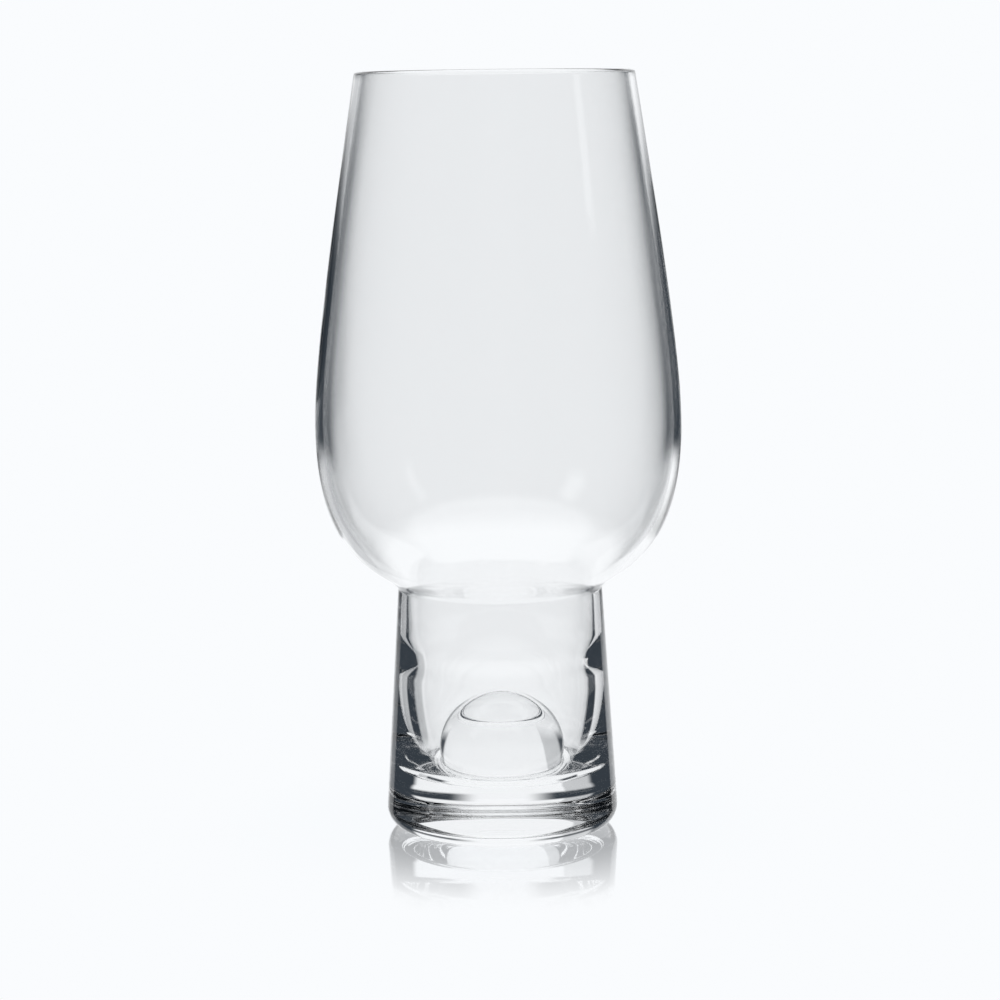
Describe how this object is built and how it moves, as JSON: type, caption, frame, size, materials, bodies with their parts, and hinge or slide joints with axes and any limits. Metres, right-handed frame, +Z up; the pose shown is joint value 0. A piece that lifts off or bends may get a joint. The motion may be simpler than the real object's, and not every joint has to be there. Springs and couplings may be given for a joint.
{
  "type": "pint glass",
  "caption": "Clear pint glass with a tall tapering bowl on a short hollow pedestal and a heavy solid base.",
  "frame": {"origin": "centre of the resting ring under the base, on the table's surface", "axes": "+Z up along the glass's axis of rotation; X and Y lie in the table's plane and are equivalent"},
  "size_m": [0.0878, 0.0878, 0.182],
  "materials": {
    "clear_glass": "fire-polished, clear and smooth"
  },
  "bodies": {
    "root": {"bowl": "clear_glass", "pedestal": "clear_glass", "base": "clear_glass"}
  },
  "joints": []
}
